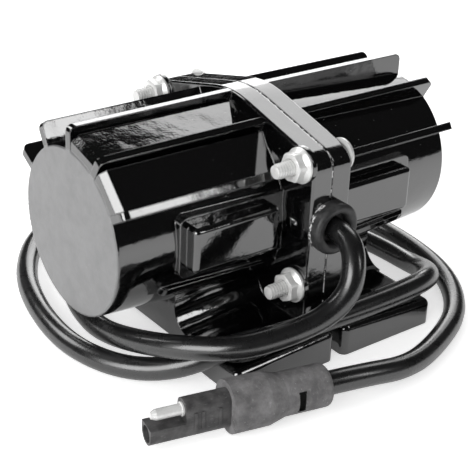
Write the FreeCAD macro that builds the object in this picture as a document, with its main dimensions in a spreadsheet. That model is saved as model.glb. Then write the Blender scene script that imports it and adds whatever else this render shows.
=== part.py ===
"""Vibration motor for a hopper or feeder: two finned cast half shells, bolted at a
middle flange, round a direct current motor with an eccentric weight at each end of its
shaft. A two-core cable leaves through a grommet at the flange and ends in a two-pole
connector.

Frame, in millimetres: X along the shaft, with the flange split at X = 0, Y across,
with the grommet on the -Y side, Z up, with the feet's undersides at Z = 0.
"""
import FreeCAD, Part
import math
import os
import Sketcher
from FreeCAD import Placement, Rotation, Vector

doc = FreeCAD.newDocument("VibrationMotor")
sheet = doc.addObject("Spreadsheet::Sheet", "sizes")

# ---------------------------------------------------------------- driving dimensions
DIMENSIONS = {
    # barrel of each half shell
    "axis_height": 54.0,
    "half_length": 87.0,
    "barrel_end_radius": 35.4,
    "barrel_flange_radius": 39.8,
    "barrel_rounding": 1.0,
    "end_wall": 5.0,
    "bore_radius": 32.0,
    "chamber_radius": 30.6,
    # cooling fins and lower ribs
    "fin_thickness": 3.3,
    "fin_end_radius": 45.0,
    "fin_flange_radius": 45.4,
    "fin_corner": 3.0,
    "fin_pitch_angle": 30.0,
    "rib_angle": 120.0,
    "rib_thickness": 4.0,
    "rib_radius": 38.6,
    "rib_reach": 66.0,
    # bosses and raised pads
    "boss_start": 15.5,
    "boss_reach": 57.5,
    "boss_face": 44.5,
    "boss_top": 10.7,
    "boss_bottom": -8.8,
    "boss_rounding": 2.2,
    "boss_step": 6.0,
    "boss_step_margin": 3.4,
    "boss_step_rounding": 3.5,
    "pad_reach": 86.8,
    "pad_slant": 2.6,
    "pad_face": 41.4,
    "pad_width": 18.0,
    "pad_offset": 1.0,
    "pad_relief_start": 17.1,
    "pad_relief_turn": 32.0,
    "pad_relief_slope": 25.0,
    # flange
    "gasket_thickness": 0.8,
    "flange_depth": 10.0,
    "flange_crown_radius": 45.5,
    "flange_half_width": 56.0,
    "flange_shoulder_slope": 14.0,
    "flange_corner": 8.0,
    "flange_edge_rounding": 1.0,
    # feet and pedestal
    "foot_gap": 5.0,
    "foot_reach": 53.5,
    "foot_half_width": 68.0,
    "foot_inner_height": 14.3,
    "foot_outer_height": 11.5,
    "foot_rounding": 3.0,
    "pedestal_half_width": 25.0,
    "cove_radius": 10.0,
    "channel_half_width": 27.0,
    "channel_height": 6.3,
    "foot_hole_radius": 4.75,
    "foot_hole_x": 32.0,
    "foot_hole_y": 51.0,
    # flange bolts and nuts
    "bolt_radius": 3.175,
    "bolt_clearance": 0.3,
    "bolt_y": 49.2,
    "bolt_upper": 29.3,
    "bolt_lower": -24.2,
    "bolt_tip": 14.3,
    "head_radius": 6.8,
    "head_height": 3.4,
    "head_rounding": 2.8,
    "neck_length": 4.0,
    "neck_clearance": 0.05,
    "nut_flats": 11.1,
    "nut_height": 5.7,
    "collar_radius": 7.4,
    "collar_rim": 1.2,
    "collar_height": 2.4,
    "nut_seat_radius": 7.6,
    "nut_seat_height": 1.0,
    # motor
    "motor_seat_left": 28.0,
    "motor_seat_right": 46.0,
    "fit_clearance": 0.05,
    "shell_thickness": 3.0,
    "magnet_inner_radius": 24.8,
    "magnet_length": 40.0,
    "magnet_angle": 130.0,
    "core_start": 3.0,
    "core_length": 38.0,
    "air_gap": 0.8,
    "slot_count": 12.0,
    "slot_radius": 2.6,
    "slot_opening": 1.8,
    "slot_depth": 5.2,
    "winding_overhang": 6.0,
    "winding_clearance": 0.5,
    # commutator and brush gear
    "commutator_radius": 12.0,
    "commutator_start": -20.0,
    "commutator_length": 12.0,
    "commutator_slit": 0.6,
    "brush_gap": 0.15,
    "brush_width": 5.0,
    "brush_depth": 8.0,
    "brush_length": 7.5,
    "holder_wall": 1.2,
    "holder_length": 13.0,
    "card_thickness": 3.0,
    "card_hole_radius": 14.0,
    "card_start": -24.0,
    "spring_radius": 1.7,
    "spring_wire": 0.3,
    "lead_radius": 1.3,
    "lead_spacing": 3.4,
    "lead_slot_half_width": 7.5,
    # shaft, bearings and weights
    "shaft_radius": 8.5,
    "journal_radius": 7.5,
    "bearing_radius": 17.5,
    "bearing_width": 11.0,
    "bearing_ring": 3.0,
    "bearing_boss_wall": 5.0,
    "bearing_clearance": 0.05,
    "ball_count": 9.0,
    "preload_washer": 1.0,
    "weight_radius": 29.0,
    "weight_hub_radius": 14.5,
    "weight_boss_side": 4.0,
    "left_weight_length": 28.0,
    "right_weight_length": 13.0,
    "right_weight_gap": 2.0,
    "clamp_screw_radius": 3.0,
    # grommet, cord and connector
    "cord_diameter": 9.6,
    "grommet_height": 3.0,
    "grommet_lip_radius": 11.0,
    "grommet_lip_length": 6.0,
    "grommet_lip_rounding": 2.6,
    "grommet_neck_radius": 8.0,
    "grommet_neck_length": 12.0,
    "grommet_bead_radius": 10.0,
    "grommet_bead_length": 4.0,
    "grommet_mouth_radius": 6.6,
    "grommet_mouth_depth": 5.0,
    "grommet_clearance": 0.05,
    "lead_tunnel_radius": 5.0,
    "boot_radius": 10.5,
    "boot_drum_length": 15.0,
    "boot_taper_length": 7.0,
    "boot_length": 42.0,
    "boot_neck_radius": 8.65,
    "boot_rounding": 2.4,
    "boot_slot_width": 3.0,
    "boot_slot_height": 8.6,
    "boot_slot_depth": 2.0,
    "boot_slot_place": 14.0,
    "plug_height": 16.0,
    "plug_thickness": 9.0,
    "plug_length": 18.0,
    "plug_rounding": 4.2,
    "plug_rib_width": 1.2,
    "plug_rib_depth": 0.4,
    "socket_length": 14.0,
    "socket_height": 7.9,
    "socket_wall": 0.8,
    "pin_radius": 2.2,
    "pin_length": 12.5,
    "pin_point_length": 2.0,
    "pin_root_length": 5.0,
    "pin_collar_radius": 2.8,
    "pin_collar_length": 0.6,
    "pin_pitch": 7.6,
    "contact_clearance": 0.4,
}


class Dim:
    """A length that carries both its number and the sheet formula it comes from."""

    def __init__(self, value, formula=None):
        self.value = float(value)
        self.formula = formula if formula else repr(float(value))

    def join(self, sign, other, swap=False):
        other = other if isinstance(other, Dim) else Dim(other)
        left, right = (other, self) if swap else (self, other)
        results = {"+": left.value + right.value, "-": left.value - right.value,
                   "*": left.value * right.value}
        value = left.value / right.value if sign == "/" else results[sign]
        return Dim(value, f"({left.formula} {sign} {right.formula})")

    def __add__(self, other):
        return self.join("+", other)

    def __radd__(self, other):
        return self.join("+", other, swap=True)

    def __sub__(self, other):
        return self.join("-", other)

    def __rsub__(self, other):
        return self.join("-", other, swap=True)

    def __mul__(self, other):
        return self.join("*", other)

    def __rmul__(self, other):
        return self.join("*", other, swap=True)

    def __truediv__(self, other):
        return self.join("/", other)

    def __neg__(self):
        return Dim(-self.value, f"(-1 * {self.formula})")


def dim(value):
    return value if isinstance(value, Dim) else Dim(value)


class Sizes:
    """The sheet's cells, each read as a Dim under its alias."""

    def __init__(self, table):
        for row, (name, value) in enumerate(table.items(), start=1):
            sheet.set(f"A{row}", name.replace("_", " "))
            sheet.set(f"B{row}", str(value))
            sheet.setAlias(f"B{row}", name)
            setattr(self, name, Dim(value, f"sizes.{name}"))


s = Sizes(DIMENSIONS)
doc.recompute()

ORIGIN = Dim(0.0)
NODES = {}


# ---------------------------------------------------------------- modelling helpers
def bind(obj, **values):
    """Give each property its number and tie it to the sheet."""
    for name, value in values.items():
        value = dim(value)
        setattr(obj, name, value.value)
        obj.setExpression(name, value.formula)
    return obj


def place(obj, x=0.0, y=0.0, z=0.0, axis=(0, 0, 1), angle=0.0):
    """Put obj at x, y, z, turned by angle about axis, with the place tied to the sheet."""
    x, y, z, angle = dim(x), dim(y), dim(z), dim(angle)
    obj.Placement = Placement(Vector(x.value, y.value, z.value),
                              Rotation(Vector(*axis), angle.value))
    for letter, value in (("x", x), ("y", y), ("z", z)):
        obj.setExpression(f"Placement.Base.{letter}", value.formula)
    obj.setExpression("Placement.Rotation.Angle", angle.formula)
    return obj


def box(name, x, y, z):
    """A block between two faces each way; x, y and z are (low, high) pairs."""
    block = doc.addObject("Part::Box", name)
    bind(block, Length=x[1] - x[0], Width=y[1] - y[0], Height=z[1] - z[0])
    return place(block, x[0], y[0], z[0])


def rod(name, direction, radius, start, length, x=0.0, y=0.0, z=0.0, angle=360.0):
    """A cylinder along X, Y or Z from start, with its axis through the other two places."""
    cylinder = doc.addObject("Part::Cylinder", name)
    bind(cylinder, Radius=radius, Height=length, Angle=angle)
    if direction == "X":
        return place(cylinder, start, y, z, (0, 1, 0), 90.0)
    if direction == "Y":
        return place(cylinder, x, start, z, (1, 0, 0), -90.0)
    return place(cylinder, x, y, start)


def ring(name, radius, hole, start, length):
    """A tube along the shaft axis."""
    return cut(name, rod(name + "_outer", "X", radius, start, length, z=s.axis_height),
               [rod(name + "_hole", "X", hole, start - 1, length + 2, z=s.axis_height)])


def fuse(name, parts):
    joined = doc.addObject("Part::MultiFuse", name)
    joined.Shapes = parts
    joined.Refine = True
    return joined


def cut(name, base, tools):
    result = doc.addObject("Part::Cut", name)
    result.Base = base
    result.Tool = tools[0] if len(tools) == 1 else fuse(name + "_tools", tools)
    result.Refine = True
    return result


def outline(body, plane, points, name):
    """A closed sketch of straight edges through points, each held by the sheet's sizes."""
    sketch = body.newObject("Sketcher::SketchObject", name)
    origin = next(f for f in body.Origin.OriginFeatures if f.Role == plane)
    sketch.AttachmentSupport = [(origin, "")]
    sketch.MapMode = "FlatFace"
    points = [(dim(u), dim(v)) for u, v in points]
    corners = [Vector(u.value, v.value, 0) for u, v in points]
    for index, corner in enumerate(corners):
        following = corners[(index + 1) % len(corners)]
        sketch.addGeometry(Part.LineSegment(corner, following), False)
    count = len(corners)
    for index in range(count):
        sketch.addConstraint(Sketcher.Constraint("Coincident", index, 2,
                                                 (index + 1) % count, 1))
    for index, pair in enumerate(points):
        for kind, axis, value in (("DistanceX", -2, pair[0]), ("DistanceY", -1, pair[1])):
            if value.value == 0.0:
                sketch.addConstraint(Sketcher.Constraint("PointOnObject", index, 1, axis))
                continue
            number = sketch.addConstraint(Sketcher.Constraint(kind, -1, 1, index, 1,
                                                              value.value))
            sketch.setExpression(f"Constraints[{number}]", value.formula)
    return sketch


def turned(name, points, z=None):
    """A solid of revolution about the local X axis; points are (along, radius)."""
    body = doc.addObject("PartDesign::Body", name)
    sketch = outline(body, "XZ_Plane", points, name + "_profile")
    turn = body.newObject("PartDesign::Revolution", name + "_turn")
    turn.Profile = sketch
    turn.ReferenceAxis = (sketch, ["H_Axis"])
    turn.Angle = 360.0
    body.Tip = turn
    if z is not None:
        place(body, z=z)
    return body


def plate(name, plane, points, thickness, middle=False):
    """A pad of the outline drawn on one of the body's origin planes."""
    body = doc.addObject("PartDesign::Body", name)
    sketch = outline(body, plane, points, name + "_profile")
    pad = body.newObject("PartDesign::Pad", name + "_pad")
    pad.Profile = sketch
    bind(pad, Length=thickness)
    pad.SideType = "Symmetric" if middle else "One side"
    body.Tip = pad
    return body


def rounded(name, source, radius, pick):
    """Round the edges that pick chooses by their middle point and length direction."""
    doc.recompute()
    chosen = [number for number, edge in enumerate(source.Shape.Edges, start=1)
              if pick(edge.CenterOfMass, edge)]
    fillet = doc.addObject("Part::Fillet", name)
    fillet.Base = source
    fillet.Edges = [(number, radius.value, radius.value) for number in chosen]
    return fillet


def runs_along(edge, axis):
    """True for a straight edge along the axis."""
    if not isinstance(edge.Curve, Part.Line):
        return False
    return abs(edge.Curve.Direction.dot(axis)) > 0.999


def node(name, obj):
    """Keep obj as the finished sub-part called name."""
    obj.Label = name
    NODES[name] = obj
    return obj


AXIS_X = Vector(1, 0, 0)
AXIS_Y = Vector(0, 1, 0)
AXIS_Z = Vector(0, 0, 1)

split_face = s.gasket_thickness / 2
inner_end = s.half_length - s.end_wall


# ---------------------------------------------------------------- half shells
def barrel():
    """The drafted barrel from the split to its flat end, with a small edge rounding."""
    body = turned("barrel", [(split_face, 0), (split_face, s.barrel_flange_radius),
                             (s.half_length, s.barrel_end_radius), (s.half_length, 0)],
                  z=s.axis_height)
    return rounded("barrel_rounded", body, s.barrel_rounding,
                   lambda middle, edge: isinstance(edge.Curve, Part.Circle)
                   and abs(middle.x - s.half_length.value) < 0.01)


def blade(name, angle, tip_end, tip_flange, reach, thickness, corner):
    """A radial fin from the flange to reach, with a rounded outer corner."""
    root = s.bore_radius + 1.5
    start = split_face + 1
    body = plate(name, "XZ_Plane", [(start, root), (start, tip_flange), (reach, tip_end),
                                    (reach, root)], thickness, middle=True)
    place(body, z=s.axis_height, axis=(1, 0, 0), angle=angle)
    turn = Rotation(AXIS_X, dim(angle).value)
    outward = turn.multVec(AXIS_Z)
    return rounded(name + "_rounded", body, corner,
                   lambda middle, edge: runs_along(edge, turn.multVec(AXIS_Y))
                   and middle.x > reach.value - 0.01
                   and (middle - Vector(0, 0, s.axis_height.value)).dot(outward)
                   > tip_end.value - 0.01)


def fins():
    """Five fins over the top, one pitch angle apart."""
    return [blade(f"fin_{step + 3}", step * s.fin_pitch_angle, s.fin_end_radius,
                  s.fin_flange_radius, s.half_length, s.fin_thickness, s.fin_corner)
            for step in (-2, -1, 0, 1, 2)]


def ribs():
    """A short low rib under each side of the barrel."""
    return [blade(f"rib_{index}", side * s.rib_angle, s.rib_radius, s.rib_radius + 2,
                  s.rib_reach, s.rib_thickness, s.fin_corner)
            for index, side in enumerate((-1, 1))]


def side_boss(name, side):
    """The flat boss on the barrel's side, on a lower step with round corners."""
    low, high = (-s.boss_face, -s.bore_radius) if side < 0 else (s.bore_radius, s.boss_face)
    block = box(name + "_block", (s.boss_start, s.boss_reach), (low, high),
                (s.axis_height + s.boss_bottom, s.axis_height + s.boss_top))
    soft = rounded(name, block, s.boss_rounding,
                   lambda middle, edge: abs(middle.y) > s.bore_radius.value + 0.01)
    margin = s.boss_step_margin
    step_low, step_high = ((-s.boss_face + s.boss_step, -s.bore_radius) if side < 0
                           else (s.bore_radius, s.boss_face - s.boss_step))
    frame = box(name + "_frame", (split_face + 1, s.boss_reach + margin),
                (step_low, step_high),
                (s.axis_height + s.boss_bottom - margin, s.axis_height + s.boss_top + margin))
    step = rounded(name + "_step", frame, s.boss_step_rounding,
                   lambda middle, edge: runs_along(edge, AXIS_Y)
                   and middle.x > s.boss_reach.value)
    return [soft, step]


def flange():
    """The joint flange: a crowned plate with two ears above and straight sides below."""
    slope = math.radians(s.flange_shoulder_slope.value)
    touch_y = s.flange_crown_radius * math.sin(slope)
    touch_z = s.flange_crown_radius * math.cos(slope)
    ear = touch_z - (s.flange_half_width - touch_y) * math.tan(slope)
    foot = s.channel_height - s.axis_height
    body = plate("flange_plate", "YZ_Plane",
                 [(-s.flange_half_width, foot), (s.flange_half_width, foot),
                  (s.flange_half_width, ear), (touch_y, touch_z), (-touch_y, touch_z),
                  (-s.flange_half_width, ear)], s.flange_depth - split_face)
    place(body, x=split_face, z=s.axis_height)
    ears = rounded("flange_ears", body, s.flange_corner,
                   lambda middle, edge: runs_along(edge, AXIS_X)
                   and middle.z > s.axis_height.value
                   and abs(middle.y) > touch_y.value + 1)
    crown = rod("flange_crown", "X", s.flange_crown_radius, split_face,
                s.flange_depth - split_face, z=s.axis_height)
    whole = fuse("flange", [ears, crown])
    return rounded("flange_rounded", whole, s.flange_edge_rounding,
                   lambda middle, edge: abs(middle.x - s.flange_depth.value) < 0.01
                   and middle.z > s.foot_inner_height.value + 1)


def foot():
    """The drafted foot plate across the half shell, with rounded ends."""
    half_gap = s.foot_gap / 2
    body = plate("foot_plate", "XZ_Plane",
                 [(half_gap, 0), (s.foot_reach, 0), (s.foot_reach, s.foot_outer_height),
                  (half_gap, s.foot_inner_height)], 2 * s.foot_half_width, middle=True)
    corners = rounded("foot_corners", body, s.foot_rounding,
                      lambda middle, edge: runs_along(edge, AXIS_Z))
    return rounded("foot_rounded", corners, s.foot_rounding,
                   lambda middle, edge: abs(middle.y) > s.foot_half_width.value - 0.01
                   and middle.z > s.foot_outer_height.value / 2)


def pedestal():
    """The block under the barrel, with a cove down to the foot on each side."""
    crest = s.foot_inner_height + s.cove_radius
    spread = s.pedestal_half_width + s.cove_radius
    half_gap = s.foot_gap / 2
    block = box("pedestal_block", (half_gap, s.foot_reach),
                (-s.pedestal_half_width, s.pedestal_half_width),
                (s.channel_height, s.axis_height - s.bore_radius / 2))
    skirt = box("cove_block", (half_gap, s.foot_reach), (-spread, spread),
                (s.channel_height, crest))
    fall = math.degrees(math.atan2(s.foot_inner_height.value - s.foot_outer_height.value,
                                   s.foot_reach.value - half_gap.value))
    tools = []
    for index, side in enumerate((-1, 1)):
        tool = rod(f"cove_{index}", "X", s.cove_radius, half_gap - 2, s.foot_reach + 4,
                   y=side * spread, z=crest)
        tool.setExpression("Placement.Rotation.Angle", None)
        tool.Placement = Placement(tool.Placement.Base, Rotation(AXIS_Y, 90 + fall))
        tools.append(tool)
    return [block, cut("cove", skirt, tools)]


def outer_casting():
    """One half shell from outside, before it is bored, on the +X side."""
    parts = [barrel(), flange(), foot()] + pedestal() + fins() + ribs()
    for name, side in (("front_boss", -1), ("rear_boss", 1)):
        parts += side_boss(name, side)
    return fuse("casting", parts)


def raised_pads():
    """Two flat pads between the front fins of the left shell, cut askew by the flange."""
    base = s.bore_radius + 2
    slope = math.tan(math.radians(s.pad_relief_slope.value))
    run = s.pad_relief_start * 2
    pads = []
    for number, place_up in enumerate((0.5, 1.5), start=1):
        name = f"pad_{number}"
        bar = plate(name + "_bar", "XZ_Plane",
                    [(-s.flange_depth + 1, base), (-s.flange_depth + 1, s.pad_face),
                     (-s.pad_reach + s.pad_slant, s.pad_face),
                     (-s.pad_reach, s.pad_face - s.pad_slant), (-s.pad_reach, base)],
                    s.pad_width, middle=True)
        place(bar, y=-s.pad_offset)
        relief = plate(name + "_relief", "XZ_Plane", [(0, 0), (run, -run * slope), (run, 1),
                                                      (0, 1)], 2 * s.pad_width, middle=True)
        place(relief, -s.pad_relief_start, 0, s.pad_face, (0, 0, 1), -s.pad_relief_turn)
        pads.append(place(cut(name, bar, [relief]), z=s.axis_height, axis=(1, 0, 0),
                          angle=place_up * s.fin_pitch_angle))
    return pads


def nut_seats():
    """A round raised seat under each nut, on the left shell's flange."""
    return [rod(f"nut_seat_{number}", "X", s.nut_seat_radius,
                -s.flange_depth - s.nut_seat_height, s.nut_seat_height + 1, y=y, z=z)
            for number, (y, z) in enumerate(bolt_places(), start=1)]


def chamber(name, seat, side):
    """The bore of one half: motor seat, weight chamber, bearing boss and its pocket."""
    pocket_floor = inner_end - s.preload_washer
    boss_outer = s.bearing_radius + s.bearing_boss_wall
    boss_face = pocket_floor - s.bearing_width
    relief = s.bearing_radius - s.bearing_ring
    points = [(-1, 0), (-1, s.bore_radius), (seat, s.bore_radius),
              (seat, s.chamber_radius), (inner_end, s.chamber_radius),
              (inner_end, boss_outer), (boss_face, boss_outer),
              (boss_face, s.bearing_radius + s.fit_clearance),
              (inner_end, s.bearing_radius + s.fit_clearance), (inner_end, relief),
              (inner_end + 1, relief), (inner_end + 1, 0)]
    return turned(name, [(side * u, v) for u, v in points], z=s.axis_height)


def grommet_profile(clearance):
    """Outline of the grommet's neck and bead, (along, radius) from the flange's side."""
    neck_start = s.flange_half_width
    neck_end = neck_start - s.grommet_neck_length
    bead = neck_end + s.grommet_bead_length
    return [(-neck_start, 0), (-neck_start, s.grommet_neck_radius + clearance),
            (-bead - clearance, s.grommet_neck_radius + clearance),
            (-bead - clearance, s.grommet_bead_radius + clearance),
            (-neck_end + clearance, s.grommet_bead_radius + clearance),
            (-neck_end + clearance, 0)]


def across(body):
    """Turn a body that was made along X so that it lies along Y at the grommet."""
    return place(body, z=s.axis_height + s.grommet_height, axis=(0, 0, 1), angle=90.0)


def half_shell(name, casting, side, seat):
    """Bore, drill and groove one half of the casting."""
    tools = [chamber(name + "_chamber", seat, side)]
    neck = turned(name + "_grommet_seat", grommet_profile(s.grommet_clearance))
    tools.append(across(neck))
    tools.append(rod(name + "_lead_tunnel", "Y", s.lead_tunnel_radius,
                     -s.flange_half_width + 1, s.flange_half_width - s.bore_radius + 2,
                     z=s.axis_height + s.grommet_height))
    reach = s.flange_depth + 2
    start = -reach if side < 0 else ORIGIN
    hole = s.bolt_radius + s.bolt_clearance
    for number, (y, z) in enumerate(bolt_places(), start=1):
        tools.append(rod(f"{name}_bolt_hole_{number}", "X", hole, start, reach, y=y, z=z))
        if side > 0:
            half = s.bolt_radius + s.neck_clearance
            tools.append(box(f"{name}_neck_pocket_{number}",
                             (s.flange_depth - s.neck_length - s.neck_clearance, reach),
                             (y - half, y + half), (z - half, z + half)))
    for number, y in enumerate((-s.foot_hole_y, s.foot_hole_y), start=1):
        tools.append(rod(f"{name}_foot_hole_{number}", "Z", s.foot_hole_radius, -1,
                         s.foot_inner_height + 2, x=side * s.foot_hole_x, y=y))
    low, high = (-s.foot_reach - 2, -ORIGIN) if side < 0 else (ORIGIN, s.foot_reach + 2)
    tools.append(box(name + "_channel", (low, high),
                     (-s.channel_half_width, s.channel_half_width),
                     (Dim(-1.0), s.channel_height)))
    return node(name, cut(name, casting, tools))


def bolt_places():
    """The four flange bolts as (y, z)."""
    return [(side * s.bolt_y, s.axis_height + height)
            for height in (s.bolt_upper, s.bolt_lower) for side in (-1, 1)]


def gasket():
    """The flat gasket between the flanges, open at the bore, the bolts and the grommet."""
    inset = s.flange_edge_rounding
    crown = rod("gasket_crown", "X", s.flange_crown_radius - inset, -split_face,
                s.gasket_thickness, z=s.axis_height)
    slope = math.radians(s.flange_shoulder_slope.value)
    shoulder = s.flange_crown_radius * math.cos(slope) - (
        s.flange_half_width - s.flange_crown_radius * math.sin(slope)) * math.tan(slope)
    width = s.flange_half_width - inset
    sheet_part = box("gasket_sheet", (-split_face, split_face), (-width, width),
                     (s.foot_inner_height, s.axis_height + shoulder - inset))
    tools = [rod("gasket_bore", "X", s.bore_radius, -split_face - 1, s.gasket_thickness + 2,
                 z=s.axis_height)]
    for number, (y, z) in enumerate(bolt_places(), start=1):
        tools.append(rod(f"gasket_hole_{number}", "X", s.bolt_radius + s.bolt_clearance,
                         -split_face - 1, s.gasket_thickness + 2, y=y, z=z))
    tools.append(box("gasket_lead_gap", (-split_face - 1, split_face + 1),
                     (-s.flange_half_width - 1, -s.bore_radius + 1),
                     (s.axis_height + s.grommet_height - s.grommet_bead_radius - 1,
                      s.axis_height + s.grommet_height + s.grommet_bead_radius + 1)))
    soft = rounded("gasket_corners", sheet_part, s.flange_corner - inset,
                   lambda middle, edge: runs_along(edge, AXIS_X)
                   and middle.z > s.axis_height.value)
    node("flange_gasket", cut("flange_gasket", fuse("gasket_plate", [soft, crown]), tools))


def cup_head_bolt(tag):
    """A bolt along X with a low domed head and a square neck that the flange holds."""
    shank = s.flange_depth * 2 + s.bolt_tip
    blank = rod(tag + "_blank", "X", s.head_radius, s.flange_depth, s.head_height)
    dome = rounded(tag + "_dome", blank, s.head_rounding,
                   lambda middle, edge: isinstance(edge.Curve, Part.Circle)
                   and middle.x > s.flange_depth.value + 1)
    neck = box(tag + "_neck", (s.flange_depth - s.neck_length, s.flange_depth + 1),
               (-s.bolt_radius, s.bolt_radius), (-s.bolt_radius, s.bolt_radius))
    return fuse(tag, [rod(tag + "_shank", "X", s.bolt_radius,
                          -s.flange_depth - s.bolt_tip, shank), neck, dome])


def flanged_nut(tag):
    """A hexagonal nut along X whose collar falls away as a cone to a thin rim."""
    foot = -s.flange_depth - s.nut_seat_height
    collar = turned(tag + "_collar", [
        (foot, 0), (foot, s.collar_radius), (foot - s.collar_rim, s.collar_radius),
        (foot - s.collar_height, s.nut_flats / 2), (foot - s.collar_height, 0)])
    prism = doc.addObject("Part::Prism", tag + "_body")
    prism.Polygon = 6
    bind(prism, Circumradius=s.nut_flats / math.sqrt(3), Height=s.nut_height)
    place(prism, foot - s.nut_height, 0, 0, (0, 1, 0), 90.0)
    return cut(tag, fuse(tag + "_blank", [collar, prism]),
               [rod(tag + "_thread", "X", s.bolt_radius, foot - s.nut_height - 1,
                    s.nut_height + 2)])


def flange_fasteners():
    """Four bolts from the +X side, each with a flanged nut on the -X side."""
    for number, (y, z) in enumerate(bolt_places(), start=1):
        for tag, make in ((f"flange_bolt_{number}", cup_head_bolt),
                          (f"flange_nut_{number}", flanged_nut)):
            node(tag, place(make(tag), 0, y, z))


# ---------------------------------------------------------------- motor
shell_radius = s.bore_radius - s.fit_clearance
shell_bore = shell_radius - s.shell_thickness
core_radius = s.magnet_inner_radius - s.air_gap
lead_height = s.axis_height + s.grommet_height
plug_height = s.boot_radius + 0.1


def field_shell():
    """The steel tube that carries the magnets, with a slot for the leads."""
    length = s.motor_seat_left + s.motor_seat_right
    tube = ring("shell_tube", shell_radius, shell_bore, -s.motor_seat_left, length)
    slot = box("lead_slot", (-s.motor_seat_left - 1, s.lead_tunnel_radius),
               (-s.bore_radius - 1, -s.magnet_inner_radius),
               (lead_height - s.lead_slot_half_width, lead_height + s.lead_slot_half_width))
    node("field_shell", cut("field_shell", tube, [slot]))
    for name, side in (("front_magnet", -1), ("rear_magnet", 1)):
        start = s.core_start + s.core_length / 2 - s.magnet_length / 2
        arc = rod(name + "_arc", "X", shell_bore, start, s.magnet_length,
                  z=s.axis_height, angle=s.magnet_angle)
        turn = Rotation(AXIS_X, side * 90 - s.magnet_angle.value / 2)
        arc.setExpression("Placement.Rotation.Angle", None)
        arc.Placement = Placement(arc.Placement.Base,
                                  turn.multiply(Rotation(AXIS_Y, 90)))
        hole = rod(name + "_hole", "X", s.magnet_inner_radius, start - 1,
                   s.magnet_length + 2, z=s.axis_height)
        node(name, cut(name, arc, [hole]))


def slot_places(radius):
    """The slots' centres round the shaft axis, as (y, z)."""
    count = int(s.slot_count.value)
    for index in range(count):
        angle = 2 * math.pi * index / count
        yield (index, radius * math.sin(angle), s.axis_height + radius * math.cos(angle))


def armature():
    """The slotted core stack with its winding, and the commutator in front of it."""
    slot_centre = core_radius - s.slot_depth
    tools = [rod("core_bore", "X", s.shaft_radius, s.core_start - 1, s.core_length + 2,
                 z=s.axis_height)]
    bars = []
    bar_radius = s.slot_radius - s.winding_clearance
    overhang = s.winding_overhang
    for index, y, z in slot_places(slot_centre):
        tools.append(rod(f"slot_{index}", "X", s.slot_radius, s.core_start - 1,
                         s.core_length + 2, y=y, z=z))
        mouth = doc.addObject("Part::Box", f"slot_mouth_{index}")
        bind(mouth, Length=s.core_length + 2, Width=s.slot_opening, Height=s.slot_depth + 2)
        angle = math.radians(360.0 * index / s.slot_count.value)
        spin = Rotation(AXIS_X, -math.degrees(angle))
        corner = spin.multVec(Vector(0, -s.slot_opening.value / 2, slot_centre.value))
        mouth.Placement = Placement(
            Vector(s.core_start.value - 1, corner.y, s.axis_height.value + corner.z), spin)
        tools.append(mouth)
        bars.append(rod(f"bar_{index}", "X", bar_radius, s.core_start - overhang / 2,
                        s.core_length + overhang, y=y, z=z))
    core = rod("core_blank", "X", core_radius, s.core_start, s.core_length, z=s.axis_height)
    node("armature_core", cut("armature_core", core, tools))
    inner = s.shaft_radius + s.winding_clearance
    outer = slot_centre + bar_radius
    for name, start in (("winding_front", s.core_start - overhang),
                        ("winding_rear", s.core_start + s.core_length)):
        blank = ring(name, outer, inner, start, overhang)
        bars.append(rounded(name + "_rounded", blank, overhang / 4,
                            lambda middle, edge: isinstance(edge.Curve, Part.Circle)
                            and abs(edge.Curve.Radius - outer.value) < 0.01))
    node("armature_windings", fuse("armature_windings", bars))


def commutator():
    """The copper commutator, slit into bars."""
    blank = ring("commutator_blank", s.commutator_radius, s.shaft_radius,
                 s.commutator_start, s.commutator_length)
    tools = []
    for index in range(int(s.slot_count.value)):
        spin = Rotation(AXIS_X, -360.0 * (index + 0.5) / s.slot_count.value)
        groove = doc.addObject("Part::Box", f"commutator_slit_{index}")
        bind(groove, Length=s.commutator_length + 2, Width=s.commutator_slit, Height=2.0)
        corner = spin.multVec(Vector(0, -s.commutator_slit.value / 2,
                                     s.commutator_radius.value - 1))
        groove.Placement = Placement(
            Vector(s.commutator_start.value - 1, corner.y, s.axis_height.value + corner.z),
            spin)
        tools.append(groove)
    node("commutator", cut("commutator", blank, tools))


def brush_gear():
    """The card across the field shell, with a holder, brush and spring above and below."""
    card = ring("card_blank", shell_bore - s.fit_clearance, s.card_hole_radius,
                s.card_start, s.card_thickness)
    node("brush_card", card)
    face = s.card_start + s.card_thickness
    brush_start = s.commutator_radius + s.brush_gap
    holder_start = s.card_hole_radius
    for name, side in (("upper", 1), ("lower", -1)):
        def span(near, far):
            low, high = (near, far) if side > 0 else (-far, -near)
            return (s.axis_height + low, s.axis_height + high)
        wall = s.holder_wall
        holder = box(f"holder_{name}_block", (face, face + s.brush_width + 2 * wall),
                     (-s.brush_depth / 2 - wall, s.brush_depth / 2 + wall),
                     span(holder_start, holder_start + s.holder_length))
        pocket = box(f"holder_{name}_pocket", (face + wall, face + wall + s.brush_width),
                     (-s.brush_depth / 2, s.brush_depth / 2),
                     span(holder_start - 1, holder_start + s.holder_length - wall))
        node(f"brush_holder_{name}", cut(f"brush_holder_{name}", holder, [pocket]))
        play = s.fit_clearance
        node(f"brush_{name}", box(
            f"brush_{name}", (face + wall + play, face + wall + s.brush_width - play),
            (-s.brush_depth / 2 + play, s.brush_depth / 2 - play),
            span(brush_start, brush_start + s.brush_length)))
        spring_start = brush_start + s.brush_length
        spring_end = holder_start + s.holder_length - wall
        node(f"brush_spring_{name}", coil_spring(
            f"brush_spring_{name}", face + wall + s.brush_width / 2, side,
            spring_start, spring_end))


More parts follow.
